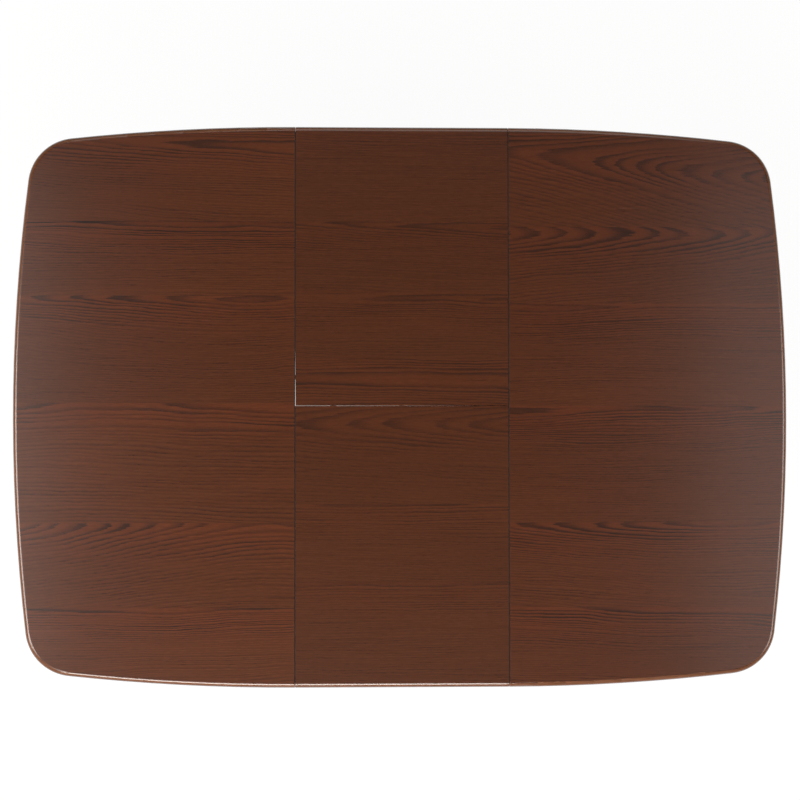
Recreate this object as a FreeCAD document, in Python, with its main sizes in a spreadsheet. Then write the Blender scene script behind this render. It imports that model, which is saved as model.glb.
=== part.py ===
import FreeCAD, Part
import math
import os
import re

import Sketcher

# A dining table that grows by one self-storing leaf. Two top halves slide apart on ball slides over a
# fixed four-leg frame. The leaf between them is hinged across its middle. Its front half stands on four
# swing arms, so the leaf lifts, folds like a book and drops into the frame.
# X runs along the table, Y across it from front to rear, Z up. The origin is on the floor at the centre.
# The table is modelled open, with the leaf laid flat.

# Driving dimensions in millimetres, angles in degrees.
SIZES = {
    # Table top
    "table_height": 762, "top_depth": 1219, "half_length": 609.5, "top_thick": 25,
    "side_bow": 37, "end_bow": 41, "corner_round": 105, "rim_round": 10, "rim_under_round": 7,
    "joint_arris": 1.2, "joint_gap": 0.5,
    # Folding leaf
    "leaf_width": 464, "fold_gap": 0.8, "fold_arris": 0.5, "fold_lift": 0.5,
    "leaf_corner_gap": 0.75, "leaf_corner_run": 130, "leaf_corner_rise": 0.4,
    # Frame
    "base_length": 1020, "side_overhang": 99.5, "leg_top": 72, "leg_foot": 46,
    "leg_round": 6, "leg_shoulder": 12,
    "apron_height": 105, "apron_thick": 22, "apron_setback": 6, "apron_round": 3,
    "foot_glide_height": 4, "foot_glide_radius": 16,
    "brace_height": 44, "brace_thick": 18, "brace_gap": 4, "brace_lift": 5,
    "cross_rail_height": 46, "cross_rail_thick": 28, "cross_rail_lift": 6, "cross_rail_clearance": 14,
    # Bolts that draw each leg into its corner
    "bolt_radius": 4, "bolt_grip": 38, "bolt_tail": 18, "bolt_pitch": 22, "bolt_fit": 0.05,
    "nut_radius": 7.5, "nut_thick": 7,
    # Pads that the top halves and the leaf rest on
    "glide_thick": 3, "glide_length": 40, "glide_width": 16,
    "leaf_glide_place": 150, "top_glide_place": 340,
    # Ball slides and the bearers that carry the top halves
    "slide_rail_thick": 22, "slide_rail_gap": 2, "slide_rail_drop": 1,
    "slide_height": 42, "slide_depth": 12.7, "slide_wall": 2, "slide_end_gap": 3,
    "slide_centre_gap": 12, "slide_seat_drop": 5, "slide_lip_gap": 0.8,
    "ball_radius": 2.5, "ball_play": 0.1, "ball_seat": 0.8, "ball_setback": 6.4, "ball_pitch": 24,
    "cage_thick": 0.8, "cage_width": 6.6, "cage_margin": 9, "cage_web_gap": 0.5, "carriage_flange": 9,
    "slide_release": 45, "bearer_end_gap": 4.2, "bearer_thick": 20, "bearer_inset": 6, "bearer_foot": 1,
    "cage_lag_share": 0.2,
    "screw_radius": 2, "screw_fit": 0.05, "screw_head_radius": 4, "screw_head": 2.4, "screw_bite": 14,
    "screw_end_gap": 24,
    # Pegs in the cross rails that the folded leaf rests on
    "peg_radius": 5, "peg_reach": 24, "peg_seat": 14, "peg_fit": 0.05, "peg_rest_gap": 0.3,
    "peg_rear_place": 67, "peg_end_gap": 20,
    # Swing arms under the front half of the leaf
    "arm_radius": 9, "arm_thick": 5, "arm_inset": 15.5, "arm_side_gap": 1.5, "arm_end_gap": 20,
    "pivot_drop": 92, "swivel_drop": 14, "stow_rise": 4.25,
    "pin_radius": 4, "pin_play": 0.06, "pin_head_radius": 7, "pin_head": 3, "pin_proud": 0.5,
    "bracket_thick": 3, "bracket_margin": 20, "bracket_rise": 9, "bracket_fall": 14,
    "leaf_bracket_flange": 28, "bracket_slide_gap": 1.3,
    # Invisible hinges across the fold
    "hinge_pitch": 150, "hinge_cup_width": 24, "hinge_cup_depth": 18.5, "hinge_cup_height": 17,
    "hinge_cup_wall": 2, "hinge_cover": 2.4, "hinge_fit": 0.1,
    "hinge_link_outer": 16, "hinge_link_inner": 10, "hinge_link_thick": 3, "hinge_link_play": 0.3,
    "hinge_link_sweep": 140,
    # Swivel latches under the top halves
    "latch_bracket_gap": 49.5, "latch_setback": 45, "hook_reach": 65, "hook_tip": 12, "hook_half_width": 10,
    "hook_thick": 3, "hook_drop": 4, "hook_play": 0.2, "hook_slot": 8.5, "hook_slot_depth": 4,
    "latch_pin_radius": 3, "latch_head_radius": 6, "latch_head": 2.2, "keeper_length": 9, "keeper_head": 2,
    # Overrun of every cutting tool past the face that it cuts
    "overrun": 1,
}

# Places that several pieces share, as formulas of the driving dimensions.
DERIVED = {
    "leaf_half": "leaf_width / 2",
    "joint_x": "leaf_half + joint_gap",
    "depth_half": "top_depth / 2",
    "fold_edge": "fold_gap / 2",
    "underside": "table_height - top_thick",
    "corner_run": "half_length - end_bow",
    "corner_y": "depth_half - side_bow",
    "side_radius": "(corner_run^2 + side_bow^2) / (2 * side_bow)",
    "end_radius": "(corner_y^2 + end_bow^2) / (2 * end_bow)",
    "base_x": "base_length / 2",
    "base_y": "depth_half - side_overhang",
    "leg_x": "base_x - leg_top",
    "leg_y": "base_y - leg_top",
    "apron_outer_x": "base_x - apron_setback",
    "apron_outer_y": "base_y - apron_setback",
    "apron_inner_x": "apron_outer_x - apron_thick",
    "apron_inner_y": "apron_outer_y - apron_thick",
    "apron_middle_x": "apron_outer_x - apron_thick / 2",
    "apron_middle_y": "apron_outer_y - apron_thick / 2",
    "apron_top": "underside - glide_thick",
    "apron_bottom": "apron_top - apron_height",
    "leg_break": "apron_bottom - leg_shoulder",
    "brace_low": "apron_bottom + brace_lift",
    "brace_near": "2 * (leg_top - apron_setback - apron_thick) + brace_gap",
    "brace_far": "brace_near + brace_thick * sqrt(2)",
    "brace_face": "brace_gap / 2 + brace_thick * sqrt(0.5)",
    "cross_rail_near": "leaf_half + cross_rail_clearance",
    "cross_rail_low": "apron_bottom + cross_rail_lift",
    "cross_rail_top": "cross_rail_low + cross_rail_height",
    "slide_rail_outer": "leg_y - slide_rail_gap",
    "slide_back": "slide_rail_outer - slide_rail_thick",
    "slide_top": "apron_top - slide_rail_drop - slide_seat_drop",
    "slide_low": "slide_top - slide_height",
    "slide_middle": "slide_top - slide_height / 2",
    "slide_front": "slide_back - slide_depth",
    "ball_row": "slide_back - ball_setback",
    "ball_rise": "slide_height / 2 - slide_wall + ball_seat - ball_play - ball_radius",
    "carriage_half": "ball_rise - ball_radius - ball_play + ball_seat",
    "cage_half": "ball_rise + cage_thick / 2",
    "cage_back": "slide_back - slide_wall - cage_web_gap",
    "bearer_near": "joint_x + bearer_inset",
    "bearer_far": "apron_inner_x - slide_release - bearer_end_gap",
    "bearer_length": "bearer_far - bearer_near",
    "bearer_middle": "(bearer_near + bearer_far) / 2",
    "bearer_low": "slide_low - bearer_foot",
    "cage_shift": "-joint_x * cage_lag_share",
    "arm_outer": "leaf_half - arm_inset",
    "arm_inner": "arm_outer - arm_thick",
    "arm_rise": "pivot_drop - swivel_drop",
    "stow_shift": "(depth_half + fold_edge) / 2",
    "arm_lean": "(stow_shift - (arm_rise^2 - stow_rise^2) / stow_shift) / 2",
    "arm_length": "sqrt(arm_lean^2 + arm_rise^2)",
    "arm_spacing": "arm_length + 2 * arm_radius + arm_end_gap",
    "swivel_setback": "slide_front - bracket_slide_gap - bracket_margin - arm_spacing",
    "pivot_setback": "swivel_setback - arm_lean",
    "pivot_z": "underside - pivot_drop",
    "swivel_z": "underside - swivel_drop",
    "stow_underside": "pivot_z + stow_rise + swivel_drop",
    "peg_front_place": "stow_shift - peg_end_gap",
    "peg_z": "stow_underside - peg_rest_gap - peg_radius",
    "upright_near": "arm_outer + arm_side_gap",
    "leaf_plate_far": "arm_inner - arm_side_gap",
    "leaf_plate_near": "leaf_plate_far - bracket_thick",
    "fold_axis_z": "table_height + fold_lift",
    "hinge_top": "table_height - hinge_cover",
    "hinge_low": "hinge_top - hinge_cup_height",
    "hinge_stack": "4 * hinge_link_thick + 5 * hinge_link_play",
    "latch_x": "joint_x + latch_setback",
    "latch_place": "swivel_setback - bracket_margin - latch_bracket_gap",
    "keeper_x": "latch_x - hook_reach",
    "hook_top": "underside - hook_drop",
    "hook_low": "hook_top - hook_thick",
}

BALLS_IN_A_ROW = 5
SCREWS_IN_A_BEARER = 3
SIDES = {"left": -1, "right": 1}
ENDS = {"front": -1, "rear": 1}

doc = FreeCAD.newDocument("butterfly_leaf_table")
sheet = doc.addObject("Spreadsheet::Sheet", "Sizes")
for row, (alias, size) in enumerate(SIZES.items(), start=1):
    sheet.set(f"A{row}", alias)
    sheet.set(f"B{row}", str(size))
    sheet.setAlias(f"B{row}", alias)
doc.recompute()

nodes = {}


def bind(formula):
    """A formula of size names, rewritten so that FreeCAD reads every size from the sheet."""

    def swap(match):
        word = match.group(0)
        if word in DERIVED:
            return f"({bind(DERIVED[word])})"
        return f"Sizes.{word}" if word in SIZES else word

    return re.sub(r"[a-z][a-z_]*", swap, str(formula))


def value(formula):
    """The number that a formula of size names gives now."""
    found = sheet.evalExpression(bind(formula))
    return float(getattr(found, "Value", found))


def span(side, near, far):
    """Low and high formulas of a stretch from near to far on the side whose sign is given."""
    if side > 0:
        return near, far
    return f"-({far})", f"-({near})"


def around(centre, size):
    """Low and high formulas of a stretch of that size about a centre."""
    return f"({centre}) - ({size}) / 2", f"({centre}) + ({size}) / 2"


def node(label, piece):
    """Names a finished piece; its label becomes its file's name."""
    piece.Label = label
    nodes[label] = piece
    return piece


def block(name, x, y, z):
    """A rectangular block between the low and high formulas of each axis."""
    piece = doc.addObject("Part::Box", name)
    for axis, side, (low, high) in zip("xyz", ("Length", "Width", "Height"), (x, y, z)):
        piece.setExpression(side, bind(f"({high}) - ({low})"))
        piece.setExpression(f"Placement.Base.{axis}", bind(low))
    return piece


AXIS_TURNS = {
    "x": FreeCAD.Rotation(FreeCAD.Vector(0, 1, 0), 90),
    "y": FreeCAD.Rotation(FreeCAD.Vector(1, 0, 0), -90),
    "z": FreeCAD.Rotation(),
}


def rod(name, axis, centre, radius, stretch):
    """A cylinder along an axis: centre gives its two other coordinates in x, y, z order."""
    piece = doc.addObject("Part::Cylinder", name)
    piece.Placement.Rotation = AXIS_TURNS[axis]
    places = list(centre)
    places.insert("xyz".index(axis), stretch[0])
    for letter, place in zip("xyz", places):
        piece.setExpression(f"Placement.Base.{letter}", bind(place))
    piece.setExpression("Radius", bind(radius))
    piece.setExpression("Height", bind(f"({stretch[1]}) - ({stretch[0]})"))
    return piece


def joined(name, pieces):
    """One solid from pieces that touch or overlap."""
    whole = doc.addObject("Part::MultiFuse", name)
    whole.Shapes = pieces
    return whole


def group(name, pieces):
    """Separate solids kept together as one object."""
    whole = doc.addObject("Part::Compound", name)
    whole.Links = pieces
    return whole


def cut(name, base, tools):
    """The base piece with every tool cut out of it."""
    whole = doc.addObject("Part::Cut", name)
    whole.Base = base
    whole.Tool = tools[0] if len(tools) == 1 else group(name + "_tools", tools)
    return whole


def arc_between(start, middle, end):
    """A sketch arc through three points, and whether it starts at the first of them."""
    circle = Part.Circle(start, middle, end)
    centre = circle.Center
    first, last = (math.atan2(p.y - centre.y, p.x - centre.x) for p in (start, end))
    turn = (middle - start).cross(end - middle).z
    flat = Part.Circle(centre, FreeCAD.Vector(0, 0, 1), circle.Radius)
    if turn > 0:
        return Part.ArcOfCircle(flat, first, last), True
    return Part.ArcOfCircle(flat, last, first), False


def pin_down(sketch, label, geometry, position, place):
    """Holds a sketch point at a place given by two formulas."""
    for kind, axis, formula in (("DistanceX", "u", place[0]), ("DistanceY", "v", place[1])):
        held = Sketcher.Constraint(kind, -1, 1, geometry, position, value(formula))
        number = sketch.addConstraint(held)
        sketch.renameConstraint(number, f"{label}_{axis}")
        sketch.setExpression(f"Constraints.{label}_{axis}", bind(formula))


def hold_radius(sketch, label, geometry, formula):
    """Holds the radius of a sketch arc or circle."""
    number = sketch.addConstraint(Sketcher.Constraint("Radius", geometry, value(formula)))
    sketch.renameConstraint(number, f"{label}_radius")
    sketch.setExpression(f"Constraints.{label}_radius", bind(formula))


def hold_centre(sketch, label, geometry, start, end):
    """Holds the centre of a half round midway between its two ends."""
    across, along = (abs(value(end[axis]) - value(start[axis])) for axis in (0, 1))
    axis = 0 if along > across else 1
    formula = f"(({start[axis]}) + ({end[axis]})) / 2"
    kind = ("DistanceX", "DistanceY")[axis]
    number = sketch.addConstraint(Sketcher.Constraint(kind, -1, 1, geometry, 3, value(formula)))
    sketch.renameConstraint(number, f"{label}_centre")
    sketch.setExpression(f"Constraints.{label}_centre", bind(formula))


def draw(body, name, plane, level, corners, arcs=None, holes=()):
    """A closed outline on one of a body's planes, at a level along the plane's normal.

    corners are places in order. arcs maps the number of a side to (middle place, radius), with no radius
    for a half round. holes are (centre place, radius). Every place is a pair of formulas, and every size
    is bound to the sheet."""
    arcs = arcs or {}
    sketch = body.newObject("Sketcher::SketchObject", name)
    origin = [feature for feature in body.Origin.OriginFeatures if feature.Role == plane]
    sketch.AttachmentSupport = [(origin[0], "")]
    sketch.MapMode = "FlatFace"
    sketch.setExpression("AttachmentOffset.Base.z", bind(level))
    points = [FreeCAD.Vector(value(u), value(v), 0) for u, v in corners]
    starts, ends = [], []
    for side, start in enumerate(points):
        end = points[(side + 1) % len(points)]
        if side in arcs:
            middle = FreeCAD.Vector(*(value(formula) for formula in arcs[side][0]), 0)
            shape, forward = arc_between(start, middle, end)
        else:
            shape, forward = Part.LineSegment(start, end), True
        geometry = sketch.addGeometry(shape)
        starts.append((geometry, 1 if forward else 2))
        ends.append((geometry, 2 if forward else 1))
    for side in range(len(points)):
        sketch.addConstraint(Sketcher.Constraint("Coincident", *ends[side - 1], *starts[side]))
        pin_down(sketch, f"corner{side}", *starts[side], corners[side])
    for side, (_, radius) in arcs.items():
        if radius is None:
            ends_of_side = corners[side], corners[(side + 1) % len(corners)]
            hold_centre(sketch, f"side{side}", starts[side][0], *ends_of_side)
        else:
            hold_radius(sketch, f"side{side}", starts[side][0], radius)
    for number, (centre, radius) in enumerate(holes):
        middle = FreeCAD.Vector(value(centre[0]), value(centre[1]), 0)
        ring = Part.Circle(middle, FreeCAD.Vector(0, 0, 1), value(radius))
        geometry = sketch.addGeometry(ring)
        pin_down(sketch, f"hole{number}", geometry, 3, centre)
        hold_radius(sketch, f"hole{number}", geometry, radius)
    return sketch


def prism(name, plane, stretch, corners, arcs=None, holes=()):
    """A body padded from an outline, between the low and high formulas along the plane's axis."""
    body = doc.addObject("PartDesign::Body", name)
    # The XZ plane looks along -Y, so there the outline lies at the high end and pads towards the low one.
    level = f"-({stretch[1]})" if plane == "XZ_Plane" else stretch[0]
    outline = draw(body, name + "_outline", plane, level, corners, arcs, holes)
    pad = body.newObject("PartDesign::Pad", name + "_pad")
    pad.Profile = outline
    pad.setExpression("Length", bind(f"({stretch[1]}) - ({stretch[0]})"))
    outline.Visibility = False
    return body


def ease(body, kind, radius, chosen):
    """Rounds (Fillet) or bevels (Chamfer) the edges of a body that the chosen test picks."""
    doc.recompute()
    base = body.Tip
    names = [f"Edge{n}" for n, edge in enumerate(base.Shape.Edges, start=1) if chosen(edge)]
    feature = body.newObject(f"PartDesign::{kind}", f"{body.Name}_{kind.lower()}")
    feature.Base = (base, names)
    feature.setExpression("Radius" if kind == "Fillet" else "Size", bind(radius))
    body.Tip = feature
    return feature


NEAR = 1e-4


def upright(edge):
    """True for an edge along Z."""
    low, high = edge.BoundBox.ZMin, edge.BoundBox.ZMax
    return high - low > NEAR and edge.BoundBox.XLength < NEAR and edge.BoundBox.YLength < NEAR


def at_level(edge, level):
    """True for an edge that lies wholly at one height."""
    return abs(edge.BoundBox.ZMin - level) < NEAR and abs(edge.BoundBox.ZMax - level) < NEAR


def along_plane(edge, axis, place):
    """True for an edge that lies wholly in the plane where an axis has that value."""
    low, high = getattr(edge.BoundBox, axis + "Min"), getattr(edge.BoundBox, axis + "Max")
    return abs(low - place) < NEAR and abs(high - place) < NEAR


def rounded_rectangle(u, v, radius):
    """Corners and arcs of a rectangle with rounded corners, as draw reads them."""
    (u_low, u_high), (v_low, v_high) = u, v
    short = f"({radius}) * (1 - sqrt(0.5))"
    corners = [
        (f"({u_low}) + ({radius})", v_low), (f"({u_high}) - ({radius})", v_low),
        (u_high, f"({v_low}) + ({radius})"), (u_high, f"({v_high}) - ({radius})"),
        (f"({u_high}) - ({radius})", v_high), (f"({u_low}) + ({radius})", v_high),
        (u_low, f"({v_high}) - ({radius})"), (u_low, f"({v_low}) + ({radius})"),
    ]
    arcs = {
        1: ((f"({u_high}) - {short}", f"({v_low}) + {short}"), radius),
        3: ((f"({u_high}) - {short}", f"({v_high}) - {short}"), radius),
        5: ((f"({u_low}) + {short}", f"({v_high}) - {short}"), radius),
        7: ((f"({u_low}) + {short}", f"({v_low}) + {short}"), radius),
    }
    return corners, arcs


# Table top: two halves with bowed sides, a bowed end, round corners and a rolled rim.
def top_half(side_name):
    side = SIDES[side_name]
    joint, tip = f"{side} * joint_x", f"{side} * (joint_x + half_length)"
    corner = f"{side} * (joint_x + corner_run)"
    middle_x = f"{side} * (joint_x + corner_run / 2)"
    middle_y = "depth_half - side_radius + sqrt(side_radius^2 - corner_run^2 / 4)"
    corners = [(joint, "depth_half"), (corner, "corner_y"), (corner, "-corner_y"), (joint, "-depth_half")]
    arcs = {
        0: ((middle_x, middle_y), "side_radius"),
        1: ((tip, "0"), "end_radius"),
        2: ((middle_x, f"-({middle_y})"), "side_radius"),
    }
    body = prism(f"{side_name}_top_board", "XY_Plane", ("underside", "table_height"), corners, arcs)
    joint_x, corner_x = value(joint), value(corner)
    ease(body, "Fillet", "corner_round", lambda edge: upright(edge) and along_plane(edge, "X", corner_x))
    top, under = value("table_height"), value("underside")
    ease(body, "Fillet", "rim_round", lambda e: at_level(e, top) and not along_plane(e, "X", joint_x))
    ease(body, "Fillet", "rim_under_round", lambda e: at_level(e, under) and not along_plane(e, "X", joint_x))
    arris = prism(f"{side_name}_joint_arris", "XZ_Plane",
                  ("-depth_half - overrun", "depth_half + overrun"), [
                      (f"{side} * (joint_x - overrun)", "table_height - joint_arris - overrun"),
                      (f"{side} * (joint_x + joint_arris + overrun)", "table_height + overrun"),
                      (f"{side} * (joint_x - overrun)", "table_height + overrun"),
                  ])
    pilots = [
        rod(f"{side_name}_screw_pilot", "z", centre, "screw_radius + screw_fit",
            ("underside - overrun", "underside + screw_bite + screw_fit"))
        for end in ENDS.values() for centre in bearer_screw_places(side, end)
    ]
    node(f"{side_name}_top", cut(f"{side_name}_top_bored", body, [arris, *pilots]))


def bearer_screw_places(side, end):
    """Centres of the screws that hold a bearer up against its top half."""
    places = []
    for number in range(SCREWS_IN_A_BEARER):
        share = f"{number} / ({SCREWS_IN_A_BEARER} - 1)"
        along = f"bearer_near + screw_end_gap + (bearer_length - 2 * screw_end_gap) * {share}"
        places.append((f"{side} * ({along})", f"{end} * (slide_front - bearer_thick / 2)"))
    return places


for side_name in SIDES:
    top_half(side_name)


# Folding leaf: two boards that meet at the fold, with hinge pockets in their fold edges. The rear board's
# corner at the fold and the left joint is cut a little short.
def leaf_half_board(end_name):
    end = ENDS[end_name]
    left_fold = ("-leaf_half", f"{end} * fold_edge")
    if end_name == "rear":
        left_fold = ("-leaf_half", "fold_edge + leaf_corner_rise")
    corners = [
        ("-leaf_half", f"{end} * depth_half"), ("leaf_half", f"{end} * depth_half"),
        ("leaf_half", f"{end} * fold_edge"), left_fold,
    ]
    body = prism(f"leaf_{end_name}_board", "XY_Plane", ("underside", "table_height"), corners)
    top, under, outer = value("table_height"), value("underside"), value(f"{end} * depth_half")
    ease(body, "Fillet", "rim_round", lambda e: at_level(e, top) and along_plane(e, "Y", outer))
    ease(body, "Fillet", "rim_under_round", lambda e: at_level(e, under) and along_plane(e, "Y", outer))
    ease(body, "Chamfer", "joint_arris", lambda e: at_level(e, top) and along_joint(e))
    ease(body, "Chamfer", "fold_arris", lambda e: at_level(e, top) and along_fold(e))
    tools = [short_corner()] if end_name == "rear" else []
    for x in HINGE_PLACES:
        tools.append(block(
            f"leaf_{end_name}_hinge_pocket", around(x, "hinge_cup_width + 2 * hinge_fit"),
            span(end, "-overrun", "fold_edge + leaf_corner_rise + hinge_cup_depth + hinge_fit"),
            ("hinge_low - hinge_fit", "hinge_top + hinge_fit")))
    node(f"leaf_{end_name}", cut(f"leaf_{end_name}_pocketed", body, tools))


def along_joint(edge):
    """True for a leaf edge that runs across the table, beside one of the top halves."""
    return edge.BoundBox.YLength > edge.BoundBox.XLength and edge.BoundBox.YLength > value("depth_half") / 2


def along_fold(edge):
    """True for a leaf edge that runs along the table, beside the other leaf board."""
    along = edge.BoundBox.XLength > edge.BoundBox.YLength
    return along and abs(edge.BoundBox.Center.y) < value("depth_half") / 2


def short_corner():
    """The thin wedge that is missing from the rear board's left edge, beside the fold."""
    return prism("leaf_rear_short_corner", "XY_Plane", ("underside - overrun", "table_height + overrun"), [
        ("-leaf_half - leaf_corner_gap", "-overrun"),
        ("-leaf_half + leaf_corner_gap", "-overrun"),
        ("-leaf_half + leaf_corner_gap", "fold_edge"),
        ("-leaf_half - leaf_corner_gap", "2 * leaf_corner_run - fold_edge"),
    ])


HINGE_PLACES = ("-hinge_pitch", "0", "hinge_pitch")
for end_name in ENDS:
    leaf_half_board(end_name)


# Invisible hinges: a slotted cup let into each board, and arc-shaped links that slide out of both cups
# round the fold line, which lies just above the table top.
def hinge_cups(end_name):
    end = ENDS[end_name]
    edge = "fold_edge + leaf_corner_rise" if end_name == "rear" else "fold_edge"
    cups = []
    for x in HINGE_PLACES:
        shell = block("hinge_shell", around(x, "hinge_cup_width"),
                      span(end, edge, f"{edge} + hinge_cup_depth"), ("hinge_low", "hinge_top"))
        slot = block("hinge_slot", around(x, "hinge_stack"),
                     span(end, f"{edge} - overrun", f"{edge} + hinge_cup_depth - hinge_cup_wall"),
                     ("hinge_low + hinge_cup_wall", "hinge_top + overrun"))
        cups.append(cut("hinge_cup", shell, [slot]))
    node(f"hinge_cups_{end_name}", group(f"hinge_cups_{end_name}_set", cups))


def hinge_links(label, layers):
    """Arc links in the given layers of each hinge, counted across its stack."""
    def place(radius, angle):
        return f"{radius} * sin({angle})", f"fold_axis_z - {radius} * cos({angle})"

    half = "hinge_link_sweep / 2"
    corners = [place("hinge_link_outer", f"-{half}"), place("hinge_link_outer", half),
               place("hinge_link_inner", half), place("hinge_link_inner", f"-{half}")]
    arcs = {0: (place("hinge_link_outer", "0"), "hinge_link_outer"),
            2: (place("hinge_link_inner", "0"), "hinge_link_inner")}
    links = []
    for x in HINGE_PLACES:
        for layer in layers:
            pitch = f"{layer} * (hinge_link_thick + hinge_link_play)"
            low = f"{x} - hinge_stack / 2 + hinge_link_play + {pitch}"
            links.append(prism(f"{label}_arc", "YZ_Plane", (low, f"{low} + hinge_link_thick"), corners, arcs))
    node(label, group(label + "_set", links))


for end_name in ENDS:
    hinge_cups(end_name)
hinge_links("hinge_links_inner", (0, 2))
hinge_links("hinge_links_outer", (1, 3))


# Frame: four legs, square at the top and tapering on their two inner faces, aprons between them, and a
# diagonal brace in each corner that a pair of bolts draws the leg against.
def leg(side_name, end_name):
    side, end = SIDES[side_name], ENDS[end_name]
    name = f"leg_{end_name}_{side_name}"
    body = doc.addObject("PartDesign::Body", name + "_body")
    head = rounded_rectangle(span(side, "leg_x", "base_x"), span(end, "leg_y", "base_y"), "leg_round")
    foot = rounded_rectangle(span(side, "base_x - leg_foot", "base_x"),
                             span(end, "base_y - leg_foot", "base_y"), "leg_round")
    top_outline = draw(body, name + "_head", "XY_Plane", "leg_break", *head)
    pad = body.newObject("PartDesign::Pad", name + "_pad")
    pad.Profile = top_outline
    pad.setExpression("Length", bind("apron_top - leg_break"))
    break_outline = draw(body, name + "_break", "XY_Plane", "leg_break", *head)
    foot_outline = draw(body, name + "_foot", "XY_Plane", "foot_glide_height", *foot)
    taper = body.newObject("PartDesign::AdditiveLoft", name + "_taper")
    taper.Profile = break_outline
    taper.Sections = [foot_outline]
    taper.Ruled = True
    body.Tip = taper
    node(name, cut(name + "_bored", body, bolt_holes(side, end)))


def apron(label, x, y, outer_axis):
    """A board of the frame; its two long lower edges are rounded."""
    body_corners = [(x[0], y[0]), (x[1], y[0]), (x[1], y[1]), (x[0], y[1])]
    body = prism(label + "_board", "XY_Plane", ("apron_bottom", "apron_top"), body_corners)
    low = value("apron_bottom")
    across = "YLength" if outer_axis == "y" else "XLength"
    ease(body, "Fillet", "apron_round", lambda e: at_level(e, low) and getattr(e.BoundBox, across) < NEAR)
    node(label, body)


def corner_brace(side_name, end_name):
    side, end = SIDES[side_name], ENDS[end_name]
    x, y = f"{side} * apron_inner_x", f"{end} * apron_inner_y"
    corners = [
        (x, f"{end} * (apron_inner_y - brace_near)"), (f"{side} * (apron_inner_x - brace_near)", y),
        (f"{side} * (apron_inner_x - brace_far)", y), (x, f"{end} * (apron_inner_y - brace_far)"),
    ]
    label = f"corner_brace_{end_name}_{side_name}"
    body = prism(label + "_body", "XY_Plane", ("brace_low", "brace_low + brace_height"), corners)
    node(label, cut(label + "_bored", body, bolt_holes(side, end)))


def set_diagonal(piece, side, end, reach, sign):
    """Lays a piece along a corner's diagonal at its upper or lower bolt.

    It starts that reach before the brace's inner face and points into the leg."""
    back = f"brace_face + ({reach}) * sqrt(0.5)"
    piece.Placement.Rotation = FreeCAD.Rotation(FreeCAD.Vector(0, 0, 1), FreeCAD.Vector(side, end, 0))
    piece.setExpression("Placement.Base.x", bind(f"{side} * (leg_x - ({back}))"))
    piece.setExpression("Placement.Base.y", bind(f"{end} * (leg_y - ({back}))"))
    piece.setExpression("Placement.Base.z", bind(f"brace_low + brace_height / 2 + {sign} * bolt_pitch / 2"))
    return piece


def bolt_shank(name, side, end, sign, fit):
    """A round bar through a corner's brace into its leg; fit is added to its radius and its tip."""
    bar = doc.addObject("Part::Cylinder", name)
    bar.setExpression("Radius", bind(f"bolt_radius + {fit}"))
    length = f"bolt_tail + brace_thick + brace_gap * sqrt(0.5) + bolt_grip + {fit}"
    bar.setExpression("Height", bind(length))
    return set_diagonal(bar, side, end, "bolt_tail", sign)


def bolt_holes(side, end):
    return [bolt_shank("bolt_hole", side, end, sign, "bolt_fit") for sign in (-1, 1)]


def leg_fasteners():
    """Bolts through each brace into its leg, and the hexagon nuts that tighten on the brace."""
    bolts, nuts = [], []
    for side in SIDES.values():
        for end in ENDS.values():
            for sign, hole in zip((-1, 1), bolt_holes(side, end)):
                bolts.append(bolt_shank("leg_bolt", side, end, sign, "0"))
                blank = doc.addObject("Part::Prism", "leg_nut_blank")
                blank.Polygon = 6
                blank.setExpression("Circumradius", bind("nut_radius"))
                blank.setExpression("Height", bind("nut_thick"))
                set_diagonal(blank, side, end, "nut_thick", sign)
                nuts.append(cut("leg_nut", blank, [hole]))
    node("leg_bolts", group("leg_bolt_set", bolts))
    node("leg_nuts", group("leg_nut_set", nuts))


for end_name, end in ENDS.items():
    apron(f"apron_{end_name}", ("-leg_x", "leg_x"), span(end, "apron_inner_y", "apron_outer_y"), "y")
for side_name, side in SIDES.items():
    apron(f"apron_{side_name}", span(side, "apron_inner_x", "apron_outer_x"), ("-leg_y", "leg_y"), "x")
    for end_name in ENDS:
        leg(side_name, end_name)
        corner_brace(side_name, end_name)
leg_fasteners()

foot_glides = [
    rod("foot_glide", "z", (f"{side} * (base_x - leg_foot / 2)", f"{end} * (base_y - leg_foot / 2)"),
        "foot_glide_radius", ("0", "foot_glide_height"))
    for side in SIDES.values() for end in ENDS.values()
]
node("foot_glides", group("foot_glide_set", foot_glides))

# Rails across the frame, and on them the two rails along it that carry the slides.
# Pegs in the cross rails hold the leaf up when it is folded away.
PEG_PLACES = ("-peg_front_place", "peg_rear_place")
pegs = []
for side_name, side in SIDES.items():
    rail = block(f"cross_rail_{side_name}_bar",
                 span(side, "cross_rail_near", "cross_rail_near + cross_rail_thick"),
                 ("-apron_inner_y", "apron_inner_y"), ("cross_rail_low", "cross_rail_top"))
    seat = span(side, "cross_rail_near - overrun", "cross_rail_near + peg_seat + peg_fit")
    bores = [rod("peg_bore", "x", (y, "peg_z"), "peg_radius + peg_fit", seat) for y in PEG_PLACES]
    node(f"cross_rail_{side_name}", cut(f"cross_rail_{side_name}_bored", rail, bores))
    length = span(side, "cross_rail_near - peg_reach", "cross_rail_near + peg_seat")
    pegs += [rod("rest_peg", "x", (y, "peg_z"), "peg_radius", length) for y in PEG_PLACES]
node("leaf_rest_pegs", group("rest_peg_set", pegs))
for end_name, end in ENDS.items():
    node(f"slide_rail_{end_name}", block(
        f"slide_rail_{end_name}_block", ("-apron_inner_x", "apron_inner_x"),
        span(end, "slide_back", "slide_rail_outer"), ("cross_rail_top", "apron_top - slide_rail_drop")))

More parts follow.
